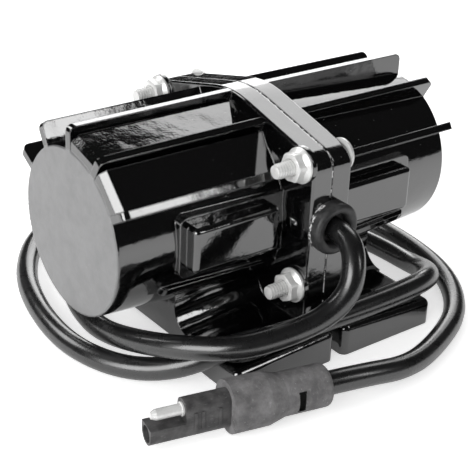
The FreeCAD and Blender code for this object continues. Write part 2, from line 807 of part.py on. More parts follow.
def coil_spring(name, x, side, start, end):
    """A compression spring: a helix of round wire between the brush and its holder."""
    wire = s.spring_wire.value
    height = (end - start).value - 2 * wire
    radius = s.spring_radius.value - wire
    path = Part.makeHelix(height / 3, height, radius)
    profile = Part.Wire(Part.makeCircle(wire, Vector(radius, 0, 0), Vector(0, 1, 0)))
    coil = path.makePipeShell([profile], True, True)
    spring = doc.addObject("Part::Feature", name)
    spring.Shape = coil
    low = s.axis_height.value + (start.value if side > 0 else -end.value) + wire
    spring.Placement = Placement(Vector(x.value, 0, low), Rotation())
    return spring


# ---------------------------------------------------------------- shaft and weights
bearing_outer_face = inner_end - s.preload_washer
bearing_inner_face = bearing_outer_face - s.bearing_width


def shaft():
    """The stepped shaft, with a journal at each end and chamfered tips."""
    tip = inner_end - s.preload_washer
    lead_in = s.fit_clearance * 10
    node("rotor_shaft", turned("rotor_shaft", [
        (-tip, 0), (-tip, s.journal_radius - lead_in), (-tip + lead_in, s.journal_radius),
        (-bearing_inner_face, s.journal_radius), (-bearing_inner_face, s.shaft_radius),
        (bearing_inner_face, s.shaft_radius), (bearing_inner_face, s.journal_radius),
        (tip - lead_in, s.journal_radius), (tip, s.journal_radius - lead_in), (tip, 0)],
        z=s.axis_height))


def bearing(name, side):
    """A deep groove ball bearing: outer ring, inner ring, and balls in their cage."""
    start = bearing_inner_face if side > 0 else -bearing_outer_face
    middle = start + s.bearing_width / 2
    inner_shoulder = s.journal_radius + s.bearing_ring
    outer_shoulder = s.bearing_radius - s.bearing_ring
    pitch = (inner_shoulder + outer_shoulder) / 2
    ball = (outer_shoulder - inner_shoulder) / 2 + s.bearing_ring / 3
    groove = doc.addObject("Part::Torus", name + "_groove")
    bind(groove, Radius1=pitch, Radius2=ball + s.bearing_clearance)
    place(groove, middle, 0, s.axis_height, (0, 1, 0), 90.0)
    outer = ring(name + "_outer_blank", s.bearing_radius, outer_shoulder, start,
                 s.bearing_width)
    node(name + "_outer_ring", cut(name + "_outer_ring", outer, [groove]))
    inner = ring(name + "_inner_blank", inner_shoulder, s.journal_radius, start,
                 s.bearing_width)
    node(name + "_inner_ring", cut(name + "_inner_ring", inner, [groove]))
    cage_half = ball / 2
    pieces = [ring(name + "_cage", pitch + s.bearing_ring / 4, pitch - s.bearing_ring / 4,
                   middle - cage_half, 2 * cage_half)]
    count = int(s.ball_count.value)
    for index in range(count):
        angle = 2 * math.pi * index / count
        sphere = doc.addObject("Part::Sphere", f"{name}_ball_{index}")
        bind(sphere, Radius=ball)
        place(sphere, middle, pitch * math.sin(angle),
              s.axis_height + pitch * math.cos(angle))
        pieces.append(sphere)
    node(name + "_ball_cage", fuse(name + "_ball_cage", pieces))


def washer(name, start):
    """The preload washer between a bearing's outer ring and the end wall."""
    node(name, ring(name, s.bearing_radius, s.bearing_radius - s.bearing_ring, start,
                    s.preload_washer))


def eccentric_weight(name, start, length):
    """A half disc below the shaft on a clamping hub, with a screw from above."""
    sector = rod(name + "_sector", "X", s.weight_radius, start, length, z=s.axis_height,
                 angle=180.0)
    sector.setExpression("Placement.Rotation.Angle", None)
    sector.Placement = Placement(sector.Placement.Base,
                                 Rotation(AXIS_X, -90).multiply(Rotation(AXIS_Y, 90)))
    hub = rod(name + "_hub", "X", s.weight_hub_radius, start, length, z=s.axis_height)
    blank = fuse(name + "_blank", [sector, hub])
    bore = rod(name + "_bore", "X", s.shaft_radius, start - 1, length + 2, z=s.axis_height)
    tap = rod(name + "_tap", "Z", s.clamp_screw_radius, s.axis_height,
              s.weight_hub_radius + 1, x=start + length / 2)
    node(name, cut(name, blank, [bore, tap]))
    screw = rod(name + "_screw_rod", "Z", s.clamp_screw_radius,
                s.axis_height + s.shaft_radius, s.weight_hub_radius - s.shaft_radius,
                x=start + length / 2)
    top = s.axis_height + s.weight_hub_radius
    socket = doc.addObject("Part::Prism", name + "_socket")
    socket.Polygon = 6
    bind(socket, Circumradius=s.clamp_screw_radius / 2, Height=s.clamp_screw_radius)
    place(socket, start + length / 2, 0, top - s.clamp_screw_radius + 1)
    trimmed = cut(name + "_screw_head", screw, [socket])
    node(name + "_screw", trimmed)


# ---------------------------------------------------------------- grommet, leads, cord
def grommet():
    """The rubber grommet: rounded lip, recessed mouth, neck and locking bead."""
    lip = s.flange_half_width + s.grommet_lip_length
    mouth_floor = lip - s.grommet_mouth_depth
    shank = turned("grommet_shank", grommet_profile(ORIGIN))
    ring_body = turned("grommet_lip", [
        (-lip, s.grommet_mouth_radius), (-lip, s.grommet_lip_radius),
        (-s.flange_half_width, s.grommet_lip_radius), (-s.flange_half_width, 0),
        (-mouth_floor, 0), (-mouth_floor, s.grommet_mouth_radius)])
    place(ring_body)
    soft = rounded("grommet_lip_rounded", ring_body, s.grommet_lip_rounding * 0.75,
                   lambda middle, edge: isinstance(edge.Curve, Part.Circle)
                   and abs(middle.x + lip.value) < 0.01)
    whole = fuse("grommet_whole", [soft, shank])
    holes = []
    for number, side in enumerate((-1, 1)):
        holes.append(rod(f"grommet_lead_hole_{number}", "X", s.lead_radius,
                         -lip, s.flange_half_width, z=side * s.lead_spacing / 2))
    body = cut("cable_grommet", whole, holes)
    node("cable_grommet", across(body))


def bent_tube(points, diameter, share=0.45):
    """A round tube along straight runs joined by tangent arcs; also gives the arcs' radii.

    Each arc starts at share of the shorter run that it joins.
    """
    edges, radii = [], []
    last = points[0]
    for before, corner, after in zip(points, points[1:], points[2:]):
        way_in = (corner - before).normalize()
        way_out = (after - corner).normalize()
        turn = way_in.getAngle(way_out)
        reach = share * min((corner - before).Length, (after - corner).Length)
        radius = reach / math.tan(turn / 2)
        start, end = corner - way_in * reach, corner + way_out * reach
        to_middle = (way_out - way_in).normalize()
        middle = corner + to_middle * (radius / math.cos(turn / 2) - radius)
        edges.append(Part.LineSegment(last, start).toShape())
        edges.append(Part.Arc(start, middle, end).toShape())
        radii.append(radius)
        last = end
    edges.append(Part.LineSegment(last, points[-1]).toShape())
    path = Part.Wire(edges)
    heading = points[1] - points[0]
    circle = Part.Wire(Part.makeCircle(diameter / 2, points[0], heading))
    tube = path.makePipeShell([circle], True, False)
    expected = math.pi * (diameter / 2) ** 2 * path.Length
    if abs(tube.Volume - expected) > 0.01 * expected:
        raise RuntimeError(f"tube volume {tube.Volume:.0f}, expected {expected:.0f}")
    return tube, radii, path.Length


def leads():
    """Two leads from the grommet along the shell's slot to the brush holders."""
    start_y = s.grommet_neck_length.value - s.flange_half_width.value
    card_face = s.card_start + s.card_thickness
    holder_x = (card_face + s.holder_wall + s.brush_width / 2).value
    slot_y = -(shell_bore + s.lead_radius / 2).value
    holder_side = -(s.brush_depth / 2 + s.holder_wall).value
    for name, side in (("positive", 1), ("negative", -1)):
        lane = (lead_height + side * s.lead_spacing / 2).value
        rise = s.axis_height.value + side * s.magnet_inner_radius.value / 3
        terminal = s.axis_height.value + side * (s.card_hole_radius.value + 3.0)
        points = [Vector(0, start_y, lane), Vector(0, slot_y, lane),
                  Vector(holder_x + 7, slot_y, lane), Vector(holder_x, slot_y + 5.5, rise),
                  Vector(holder_x, holder_side * 2.8, terminal),
                  Vector(holder_x, holder_side, terminal)]
        tube, _, _ = bent_tube(points, 2 * s.lead_radius.value, 0.4)
        lead = doc.addObject("Part::Feature", f"lead_{name}")
        lead.Shape = tube
        node(f"lead_{name}", lead)


# The cord's route as it lies: out of the grommet, down and to the left over its own
# second turn, twice round the shell, and on to the connector in front.
CORD_ROUTE = [
    (0, -57, 57), (0, -68, 57), (-4, -77, 51), (-9, -81, 40), (-20, -79, 31),
    (-38, -76, 27.5), (-56, -71, 25.5), (-70, -54, 22), (-78, -30, 16), (-77, -4, 8),
    (-72, 20, 4.8), (-66, 40, 7.5), (-54, 56, 19.5), (-32, 65, 20.5), (-2, 66, 20.5),
    (28, 66, 20), (52, 58, 19), (67, 42, 8), (75, 18, 4.8), (79, -8, 4.8),
    (78, -31, 5.5), (69, -52, 13), (52, -64, 19), (26, -66, 19.2), (-4, -66, 19.6),
    (-30, -65, 20), (-51, -60, 19.5), (-66, -49, 9), (-81, -33, 4.8), (-91, -8, 4.8),
    (-89, 24, 4.8), (-78, 60, 4.8), (-54, 92, 4.8), (-18, 108, 4.8), (24, 108, 4.8),
    (62, 92, 4.8), (84, 60, 4.8), (93, 22, 4.8), (93, -14, 4.8), (85, -48, 4.8),
    (65, -74, 4.8), (38, -88, 4.8), (12, -97, 7), (-11, -95, 10.6), (-28, -91.2, 10.6)]


def cord():
    """The round two-core cord, from the grommet's mouth to the connector's boot."""
    points = [Vector(*point) for point in CORD_ROUTE]
    points[0].y = (s.grommet_mouth_depth - s.grommet_lip_length
                   - s.flange_half_width).value
    points[0].z = points[1].z = lead_height.value
    points[-1].z = points[-2].z = plug_height.value
    tube, radii, length = bent_tube(points, s.cord_diameter.value)
    piece = doc.addObject("Part::Feature", "power_cord")
    piece.Shape = tube
    node("power_cord", piece)
    print("cord length", round(length), "mm; bend radii",
          " ".join(f"{radius:.0f}" for radius in radii))


def at_plug(obj, raised=0.0):
    """Put a piece made along local X at the cord's end, in line with its last run."""
    before, end = CORD_ROUTE[-2:]
    heading = math.degrees(math.atan2(end[1] - before[1], end[0] - before[0]))
    return place(obj, end[0], end[1], plug_height + raised, (0, 0, 1), heading)


def boot():
    """The moulded boot: a drum, a taper and a rounded neck with a slot in each side."""
    drum = s.boot_length - s.boot_drum_length
    body = turned("boot_body", [
        (0, 0), (0, s.boot_neck_radius), (drum - s.boot_taper_length, s.boot_neck_radius),
        (drum, s.boot_radius), (s.boot_length, s.boot_radius), (s.boot_length, 0)])
    soft = rounded("boot_rounded", body, s.boot_rounding,
                   lambda middle, edge: isinstance(edge.Curve, Part.Circle)
                   and abs(middle.x) < 0.01)
    tools = []
    depth = s.boot_neck_radius - s.boot_slot_depth
    for number, side in enumerate((-1, 1)):
        low, high = ((-s.boot_radius, -depth) if side < 0 else (depth, s.boot_radius))
        half = s.boot_slot_width / 2
        tall = s.boot_slot_height / 2 - half
        tools.append(box(f"boot_slot_{number}",
                         (s.boot_slot_place - half, s.boot_slot_place + half),
                         (low, high), (-tall, tall)))
        for place_up in (-1, 1):
            tools.append(rod(f"boot_slot_end_{number}_{place_up + 1}", "Y", half, low,
                             s.boot_radius - depth, x=s.boot_slot_place,
                             z=place_up * tall))
    node("connector_boot", at_plug(cut("connector_boot", soft, tools)))


# Where the grip ribs stand along the connector's body, as shares of its length.
PLUG_RIB_PLACES = (0.22, 0.6, 0.76)


def connector():
    """The two-pole connector: a body on edge, a bare pin above and a shrouded socket."""
    start = s.boot_length
    step = start + s.plug_length
    half_height, half_thick = s.plug_height / 2, s.plug_thickness / 2
    block = box("plug_block", (start, step), (-half_thick, half_thick),
                (-half_height, half_height))
    shroud = box("plug_shroud", (start + 1, step + s.socket_length),
                 (-half_thick, half_thick), (-half_height, -half_height + s.socket_height))
    pole = s.pin_pitch / 2
    soft = rounded("plug_rounded", fuse("plug_blank", [block, shroud]), s.plug_rounding,
                   lambda middle, edge: runs_along(edge, AXIS_X)
                   and abs(abs(middle.z) - half_height.value) < 0.01)
    rib_reach = half_thick + s.plug_rib_depth
    rib_top = half_height - s.plug_rounding
    ribs = []
    for number, share in enumerate(PLUG_RIB_PLACES):
        rib = start + s.plug_length * share
        ribs.append(box(f"plug_rib_{number}", (rib, rib + s.plug_rib_width),
                        (-rib_reach, rib_reach), (-rib_top, rib_top)))
    blank = fuse("plug_ribbed", [soft] + ribs)
    socket_bore = s.pin_radius + s.contact_clearance
    socket_outer = socket_bore + s.socket_wall
    tip = step + s.pin_length
    root = step - s.pin_root_length
    tools = [rod("socket_mouth", "X", socket_outer, step - 2, s.socket_length + 3, z=-pole),
             rod("pin_seat", "X", s.pin_collar_radius, root, s.pin_root_length + 1, z=pole)]
    node("connector_body", at_plug(cut("connector_body", blank, tools)))
    pin = turned("bullet_pin", [
        (root, 0), (root, s.pin_collar_radius), (step + s.pin_collar_length,
                                                 s.pin_collar_radius),
        (step + s.pin_collar_length, s.pin_radius), (tip - s.pin_point_length, s.pin_radius),
        (tip, s.pin_radius * 0.6), (tip, 0)])
    node("connector_pin", at_plug(pin, pole))
    sleeve = cut("socket_sleeve", rod("socket_tube", "X", socket_outer, step - 2,
                                      s.socket_length - 1, z=-pole),
                 [rod("socket_hole", "X", socket_bore, step - 1, s.socket_length, z=-pole)])
    node("connector_socket", at_plug(sleeve))


# ---------------------------------------------------------------- assembly
def build():
    casting = outer_casting()
    mirrored = doc.addObject("Part::Mirroring", "casting_mirror")
    mirrored.Source = casting
    mirrored.Base = Vector(0, 0, 0)
    mirrored.Normal = AXIS_X
    left_casting = fuse("left_casting", [mirrored] + raised_pads() + nut_seats())
    half_shell("left_housing", left_casting, -1, s.motor_seat_left)
    half_shell("right_housing", casting, 1, s.motor_seat_right)
    gasket()
    flange_fasteners()
    field_shell()
    armature()
    commutator()
    brush_gear()
    shaft()
    for name, side in (("left_bearing", -1), ("right_bearing", 1)):
        bearing(name, side)
    washer("left_shim_washer", -inner_end)
    washer("right_wave_washer", bearing_outer_face)
    eccentric_weight("left_weight", -bearing_inner_face + s.weight_boss_side,
                     s.left_weight_length)
    eccentric_weight("right_weight", bearing_inner_face - s.right_weight_gap
                     - s.right_weight_length, s.right_weight_length)
    grommet()
    leads()
    cord()
    boot()
    connector()
    doc.recompute()


def check():
    """Stop if any object failed or any sub-part is not one sound solid."""
    for obj in doc.Objects:
        if "Invalid" in obj.State or "Error" in obj.State:
            raise RuntimeError(f"{obj.Name} failed: {obj.State}")
    for name, obj in NODES.items():
        shape = obj.Shape
        if shape.isNull() or not shape.isValid() or not shape.Solids:
            raise RuntimeError(f"{name} is not a valid solid")


def export():
    os.makedirs("parts", exist_ok=True)
    for name, obj in NODES.items():
        obj.Shape.exportStep(f"parts/{name}.step")
    print(len(NODES), "sub-parts written")


build()
check()
export()
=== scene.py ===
"""Finishes and fine pieces of the twin-shell vibration motor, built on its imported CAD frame."""
import math

import bmesh
import bpy
import numpy as np
from bpy.props import FloatProperty, FloatVectorProperty, PointerProperty
from mathutils import Matrix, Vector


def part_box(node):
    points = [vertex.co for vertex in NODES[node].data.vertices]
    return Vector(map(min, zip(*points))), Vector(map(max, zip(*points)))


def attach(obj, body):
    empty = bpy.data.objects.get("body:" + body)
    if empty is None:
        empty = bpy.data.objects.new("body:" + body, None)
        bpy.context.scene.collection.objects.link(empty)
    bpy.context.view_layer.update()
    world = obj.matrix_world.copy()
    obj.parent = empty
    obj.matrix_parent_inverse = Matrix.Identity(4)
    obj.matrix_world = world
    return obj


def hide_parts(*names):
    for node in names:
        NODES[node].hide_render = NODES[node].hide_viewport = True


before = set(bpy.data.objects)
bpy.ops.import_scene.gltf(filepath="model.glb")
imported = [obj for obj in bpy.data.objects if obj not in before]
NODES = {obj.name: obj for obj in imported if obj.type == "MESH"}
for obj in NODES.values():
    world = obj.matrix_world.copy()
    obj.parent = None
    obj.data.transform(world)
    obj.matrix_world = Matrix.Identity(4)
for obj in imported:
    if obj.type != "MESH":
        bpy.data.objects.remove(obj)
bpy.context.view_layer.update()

bl_info = {
    "name": "Vibration Motor Finishes",
    "version": (1, 0, 0),
    "blender": (4, 5, 0),
    "location": "3D View > Sidebar > Vibrator",
    "description": "Coats, fasteners, cord and connector of a vibration motor",
    "category": "Object",
}

CASING = "casing"

BOLT_NODES = [f"flange_bolt_{number}" for number in range(1, 5)]
NUT_NODES = [f"flange_nut_{number}" for number in range(1, 5)]

# The case, in metres, and in degrees for the slope of the flange's shoulders. Its coat
# and the bead along its joint follow these. The last is the depth of the flat ends' coat.
AXIS_HEIGHT = 0.054
HALF_LENGTH = 0.087
END_RADIUS = 0.0357
CROWN_RADIUS = 0.0455
SHOULDER_SLOPE = 14.0
FLANGE_HALF_WIDTH = 0.056
FLANGE_CORNER = 0.008
FOOT_TOP = 0.0143
END_SKIN = 0.0004

# Painted highlight flecks on the grommet: reach past the flange, and the X they stay left of.
GLINT_REACH = 0.0016
GLINT_SIDE = -0.004

# The boot's cord end and its direction in X and Y, its height, and the slot through its
# neck, where shade is painted: distance from the cord end, half its width and height,
# and where its mouth is.
BOOT_END = (-0.028, -0.0912)
BOOT_WAY = (-0.97592, 0.21815)
BOOT_HEIGHT = 0.0106
SLOT_PLACE = 0.014
SLOT_HALF_WIDTH = 0.0016
SLOT_HALF_HEIGHT = 0.0044
SLOT_MOUTH = 0.0079

# A flange nut: the chamfer at its top and the part of it that is a plain cone, the
# countersink and clearance of its bore, the rounding of the collar's rim and the step in
# front of it, and how far each nut is turned past the one before, in radians.
NUT_CHAMFER = 0.0009
NUT_BREAK = 0.0003
NUT_COUNTERSINK = 0.0008
NUT_CLEARANCE = 0.00005
COLLAR_ROUND = 0.0002
COLLAR_STEP = 0.0005
NUT_TURN = 0.35

# A bolt: the share of its head that is upright rim, the height and steepness of its
# thread's ridge, the length and depth of the cone at its tip, in pitches and in depths
# of thread, and the share of its radius that its flat tip keeps.
HEAD_RIM = 0.12
RIDGE_HEIGHT = 1.25
RIDGE_STEEPNESS = 2.9
CONE_PITCHES = 1.2
CONE_DEPTH = 0.6
TIP_SHARE = 0.86

# Edges of a new piece that turn by less than this look round, in degrees.
SMOOTH_ANGLE = 35.0

# The camera's place in metres, its turns in radians and its lens in millimetres.
CAMERA_PLACE = (-0.29835, -0.37476, 0.26949)
CAMERA_YAW, CAMERA_PITCH, CAMERA_ROLL = 0.6661, 0.4659, 0.0406
CAMERA_LENS = 91.98

# Soft boxes: bearing from +X towards +Y and rise above the floor in degrees, width and
# height in metres, and radiance.
LAMP_DISTANCE = 1.15
LAMPS = {
    "left_bank": (-165.0, 22.0, 0.8, 0.7, 4.6),
    "high_bank": (36.0, 38.0, 0.8, 0.42, 2.1),
    "low_bank": (50.0, 17.5, 0.75, 0.38, 3.4),
    "back_bank": (123.0, 36.0, 0.5, 0.4, 4.0),
    "front_bank": (-61.0, 30.0, 0.13, 0.4, 4.2),
}

# The surround's level for matt surfaces and in reflections, and the floor's own light
# for the eye and in reflections.
SURROUND_MATT = 0.34
SURROUND_MIRRORED = 0.02
FLOOR_REACH = 0.75
FLOOR_SEEN = 0.6
FLOOR_MIRRORED = 0.25

# The cord's route from the grommet's mouth to the connector's boot, in metres.
CORD_ROUTE = [
    (0, -.057, .057), (0, -.068, .057), (-.004, -.077, .051), (-.009, -.081, .040),
    (-.020, -.079, .031), (-.038, -.076, .0275), (-.056, -.071, .0255),
    (-.070, -.054, .022), (-.078, -.030, .016), (-.077, -.004, .008),
    (-.072, .020, .0048), (-.066, .040, .0075), (-.054, .056, .0195),
    (-.032, .065, .0205), (-.002, .066, .0205), (.028, .066, .020),
    (.052, .058, .019), (.067, .042, .008), (.075, .018, .0048), (.079, -.008, .0048),
    (.078, -.031, .0055), (.069, -.052, .013), (.052, -.064, .019),
    (.026, -.066, .0192), (-.004, -.066, .0196), (-.030, -.065, .020),
    (-.051, -.060, .0195), (-.066, -.049, .009), (-.081, -.033, .0048),
    (-.091, -.008, .0048), (-.089, .024, .0048), (-.078, .060, .0048),
    (-.054, .092, .0048), (-.018, .108, .0048), (.024, .108, .0048),
    (.062, .092, .0048), (.084, .060, .0048), (.093, .022, .0048),
    (.093, -.014, .0048), (.085, -.048, .0048), (.065, -.074, .0048),
    (.038, -.088, .0048), (.012, -.097, .007), (-.011, -.095, .0106),
    (-.028, -.0912, .0106)]


# ---------------------------------------------------------------- sizes and colours
def length(name, text, default):
    """A size in metres that a user may change."""
    return FloatProperty(name=name, description=text, default=default, min=0.0001,
                         max=0.5, unit="LENGTH", precision=5)


def colour(name, text, default):
    """A linear colour that a user may change."""
    return FloatVectorProperty(name=name, description=text, default=default, size=3,
                               min=0.0, max=1.0, subtype="COLOR")


class VibratorSizes(bpy.types.PropertyGroup):
    """Sizes of the fine pieces that go over the CAD frame."""
    cord_radius: length("Cord radius", "Half the cord's thickness", 0.0048)
    bolt_radius: length("Bolt radius", "Half the thickness of a flange bolt", 0.003175)
    thread_pitch: length("Thread pitch", "Rise of one turn of the bolts", 0.00127)
    thread_depth: length("Thread depth", "Height of the thread's ridge", 0.0003)
    dome_radius: length("Bolt head radius", "Reach of the cup head", 0.0068)
    dome_height: length("Bolt head height", "Height of the cup head", 0.0034)
    nut_flats: length("Nut flats", "Width of a nut over its flats", 0.0111)
    collar_radius: length("Nut collar radius", "Reach of a nut's collar", 0.0074)
    collar_rim: length("Nut collar rim", "Thickness of the collar's edge", 0.0012)
    collar_height: length("Nut collar height", "Height of the collar's cone", 0.0024)
    bead_radius: length("Seam bead radius", "Half the bead along the joint", 0.00045)
    edge_softness: length("Edge softness", "Rounding of the casting's edges", 0.0009)
    speck_gap: length("Dust spacing", "Mean distance between specks of dust", 0.0032)


class VibratorColours(bpy.types.PropertyGroup):
    """Colours of the finishes."""
    coat: colour("Case coat", "Gloss coat of the casting", (0.0018, 0.0018, 0.002))
    dust: colour("Dust", "Specks on the coat", (0.32, 0.32, 0.32))
    # Flat ends: a black satin coat painted lighter grey with pale clouds, a painted sheen
    # standing for the light it reflects.
    end_face_sheen: colour("End faces", "Satin coat of the flat ends", (0.084, 0.084, 0.086))
    end_sheen_cloud: colour("End clouds", "Pale clouds on the flat ends", (0.15, 0.15, 0.154))
    seam: colour("Seam paint", "Paint along the joint", (0.004, 0.004, 0.004))
    # Bright flecks on the seam and on the grommet's rim are painted highlights: glints painted as
    # pale colour.
    glints: colour("Seam flecks", "Bright flecks along the joint", (0.75, 0.75, 0.75))
    zinc: colour("Zinc", "Plated fasteners", (0.97, 0.97, 0.96))
    zinc_stain: colour("Zinc stains", "Stains on the plating", (0.8, 0.8, 0.79))
    sheath: colour("Cord sheath", "Outer sheath of the cord", (0.005, 0.005, 0.0053))
    scuff: colour("Cord scuffs", "Scuffs on the sheath", (0.014, 0.014, 0.0145))
    boot: colour("Boot", "Moulded boot of the connector", (0.13, 0.127, 0.129))
    boot_cloud: colour("Boot clouds", "Clouds on the boot", (0.26, 0.255, 0.257))
    boot_scuff: colour("Boot scuffs", "Scuffs and sparkles", (0.5, 0.5, 0.5))
    # Boot slot: painted shade, near black, inside the slot's hollow.
    slot: colour("Boot slot", "Hollow of the boot's slot", (0.001, 0.001, 0.001))
    plug: colour("Connector", "Moulded body of the connector", (0.046, 0.045, 0.046))
    plug_cloud: colour("Connector clouds", "Clouds on the body", (0.11, 0.107, 0.108))
    plug_rub: colour("Connector rubs", "Rubbed places", (0.26, 0.26, 0.26))
    rubber: colour("Grommet", "Rubber round the cord's exit", (0.03, 0.03, 0.031))
    bloom: colour("Grommet bloom", "Dull bloom on the rubber", (0.07, 0.07, 0.07))
    floor: colour("Floor", "Paper that the motor stands on", (0.93, 0.93, 0.93))
    floor_tooth: colour("Floor tooth", "Paler grain of the paper", (0.95, 0.95, 0.95))


def sizes():
    """The sizes that the user has set."""
    return bpy.context.scene.vibrator_sizes


def colours():
    """The colours that the user has set."""
    return bpy.context.scene.vibrator_colours


# ---------------------------------------------------------------- shader maths
class Wire:
    """A node's output socket. Arithmetic on it adds Math nodes to its net."""

    def __init__(self, net, socket):
        self.net = net
        self.socket = socket

    def maths(self, operation, *values):
        return self.net.add("ShaderNodeMath", {"operation": operation},
                            dict(enumerate(values)))

    def __add__(self, other):
        return self.maths("ADD", self, other)

    __radd__ = __add__

    def __mul__(self, other):
        return self.maths("MULTIPLY", self, other)

    __rmul__ = __mul__

    def __sub__(self, other):
        return self.maths("SUBTRACT", self, other)

    def __rsub__(self, other):
        return self.maths("SUBTRACT", other, self)

    def __pow__(self, other):
        return self.maths("POWER", self, other)

    def __abs__(self):
        return self.maths("ABSOLUTE", self)

    def above(self, level):
        return self.maths("GREATER_THAN", self, level)

    def below(self, level):
        return self.maths("LESS_THAN", self, level)

    def between(self, low, high):
        """0 at low, 1 at high, and held at both ends."""
        return self.net.add("ShaderNodeMapRange", {"clamp": True},
                            {0: self, 1: low, 2: high, 3: 0.0, 4: 1.0})


class Net:
    """The node tree of one finish."""

    def __init__(self, tree):
        self.tree = tree
        tree.nodes.clear()

    def add(self, kind, settings=None, inputs=None, out=0):
        """One node: its settings first, then its sockets' values or links."""
        node = self.tree.nodes.new(kind)
        for key, value in (settings or {}).items():
            setattr(node, key, value)
        for key, value in (inputs or {}).items():
            if isinstance(value, Wire):
                self.tree.links.new(value.socket, node.inputs[key])
            elif hasattr(value, "__len__") and node.inputs[key].type == "RGBA":
                node.inputs[key].default_value = (*value, 1.0)
            else:
                node.inputs[key].default_value = value
        return Wire(self, node.outputs[out]) if len(node.outputs) else None

    def place(self, scale=(1.0, 1.0, 1.0)):
        """Object coordinates in metres, stretched by scale."""
        point = self.add("ShaderNodeTexCoord", out="Object")
        return self.add("ShaderNodeMapping", {}, {"Vector": point, "Scale": scale})

    def axes(self, vector):
        """X, Y and Z of a vector."""
        parts = self.add("ShaderNodeSeparateXYZ", {}, {"Vector": vector})
        return [Wire(self, part) for part in parts.socket.node.outputs]

    def ray(self, kind):
        """1 where the ray is of that kind, such as Camera or Glossy, and else 0."""
        return self.add("ShaderNodeLightPath", out=f"Is {kind} Ray")

    def noise(self, vector, scale, detail=2.0, rough=0.5):
        """Soft noise with that many features a metre."""
        return self.add("ShaderNodeTexNoise", {},
                        {"Vector": vector, "Scale": scale, "Detail": detail,
                         "Roughness": rough})

    def cells(self, vector, scale, out="Distance"):
        """Cells of Voronoi noise: distance from the middle, or a colour each."""
        return self.add("ShaderNodeTexVoronoi", {}, {"Vector": vector, "Scale": scale},
                        out)

    def mix(self, share, first, second):
        """First colour at share 0 and second at 1."""
        return self.add("ShaderNodeMix", {"data_type": "RGBA"},
                        {0: share, 6: first, 7: second}, 2)

    def bump(self, height, distance, strength, normal=None):
        """Normals tilted by a height, over those of an earlier step."""
        inputs = {"Height": height, "Distance": distance, "Strength": strength}
        if normal:
            inputs["Normal"] = normal
        return self.add("ShaderNodeBump", {}, inputs)

    def soft_edges(self, radius):
        """Normals rounded over every edge within radius."""
        return self.add("ShaderNodeBevel", {"samples": 6}, {"Radius": radius})

    def surface(self, **sockets):
        """Principled surface, with its sockets named in words joined by underscores."""
        named = {key.replace("_", " "): value for key, value in sockets.items()}
        self.close(self.add("ShaderNodeBsdfPrincipled", {}, named))

    def close(self, shader, kind="ShaderNodeOutputMaterial"):
        """Links a shader to the tree's output."""
        self.add(kind, {}, {"Surface": shader})


def finish(name):
    """A new material and the net of its nodes."""
    material = bpy.data.materials.new(name)
    material.use_nodes = True
    return material, Net(material.node_tree)


def dress(material, *names):
    """Gives a finish to CAD nodes, in their objects' own slots."""
    for name in names:
        for slot in NODES[name].material_slots:
            slot.material = material


# ---------------------------------------------------------------- finishes
def gloss_coat():
    """Gloss black coat on a casting: soft edges, slow waves, fine peel and dust, and on the
    shells' flat ends a satin coat painted lighter grey with pale clouds: a painted sheen."""
    material, net = finish("gloss_black_coat")
    here = net.place()
    waves = net.noise(here, 70.0, 2.0)
    peel = net.noise(here, 900.0, 2.0)
    smears = net.noise(net.place((1.0, 2.2, 2.2)), 45.0, 3.0, 0.6)
    gap = sizes().speck_gap
    speck = net.cells(here, 1.0 / gap)
    chance = net.cells(here, 1.0 / gap, out="Color")
    lucky = net.add("ShaderNodeSeparateColor", {}, {"Color": chance}).above(0.55)
    dust = speck.below(0.045) * lucky
    x, y, z = net.axes(here)
    height = z - AXIS_HEIGHT
    round_axis = (y * y + height * height) ** 0.5
    end_face_sheen = abs(x).above(HALF_LENGTH - END_SKIN) * round_axis.below(END_RADIUS)
    cloud = net.noise(here, 110.0, 4.0, 0.65)
    grain = net.noise(here, 1500.0, 3.0)
    # Painted sheen: the satin ends lifted to grey with pale clouds in place of reflected light.
    satin_and_sheen = net.mix(cloud.between(0.3, 0.7), colours().end_face_sheen, colours().end_sheen_cloud)
    coat = net.mix(end_face_sheen, colours().coat, satin_and_sheen)
    soft = net.soft_edges(sizes().edge_softness)
    slow = net.bump(waves, 0.0006, 0.5, soft)
    fine = net.bump(peel, 0.00004, 0.6, slow)
    sanded = net.bump(grain * end_face_sheen, 0.00008, 0.5, fine)
    net.surface(Base_Color=net.mix(dust, coat, colours().dust),
                Roughness=0.05 + smears.between(0.45, 0.8) * 0.12 + dust * 0.5
                + end_face_sheen * (0.16 + cloud * 0.2),
                Normal=sanded, IOR=2.2, Coat_Weight=0.6, Coat_Roughness=0.04,
                Coat_IOR=1.6)
    return material


def seam_paint():
    """Dark paint that has run into the joint, with bright flecks painted in as glints of light.
    """
    material, net = finish("seam_paint")
    here = net.place()
    # Painted highlights: bright glints along the bead.
    glint = net.noise(here, 330.0, 3.0, 0.7).between(0.5, 0.55)
    net.surface(Base_Color=net.mix(glint, colours().seam, colours().glints),
                Roughness=0.25 + glint * 0.2, IOR=1.8)
    return material


def zinc_plate():
    """Bright zinc plate with faint cloudy stains and fine scratches."""
    material, net = finish("bright_zinc")
    here = net.place()
    cloud = net.noise(here, 260.0, 3.0, 0.6)
    scratch = net.noise(net.place((1.0, 6.0, 6.0)), 900.0, 2.0)
    dull = net.noise(here, 900.0, 2.0)
    net.surface(Base_Color=net.mix(cloud.between(0.4, 0.7), colours().zinc,
                                   colours().zinc_stain),
                Metallic=0.25, Roughness=0.2 + dull * 0.1,
                Normal=net.bump(scratch, 0.00004, 0.4))
    return material


def cord_sheath():
    """Glossy black sheath with faint scuffs and slight dullness."""
    material, net = finish("cord_sheath")
    here = net.place()
    dull = net.noise(here, 120.0, 3.0, 0.6)
    fine = net.noise(here, 1200.0, 2.0)
    net.surface(Base_Color=net.mix(dull, colours().sheath, colours().scuff),
                Roughness=0.2 + dull * 0.16, Normal=net.bump(fine, 0.00004, 0.35),
                IOR=1.9, Coat_Weight=0.36, Coat_Roughness=0.12)
    return material


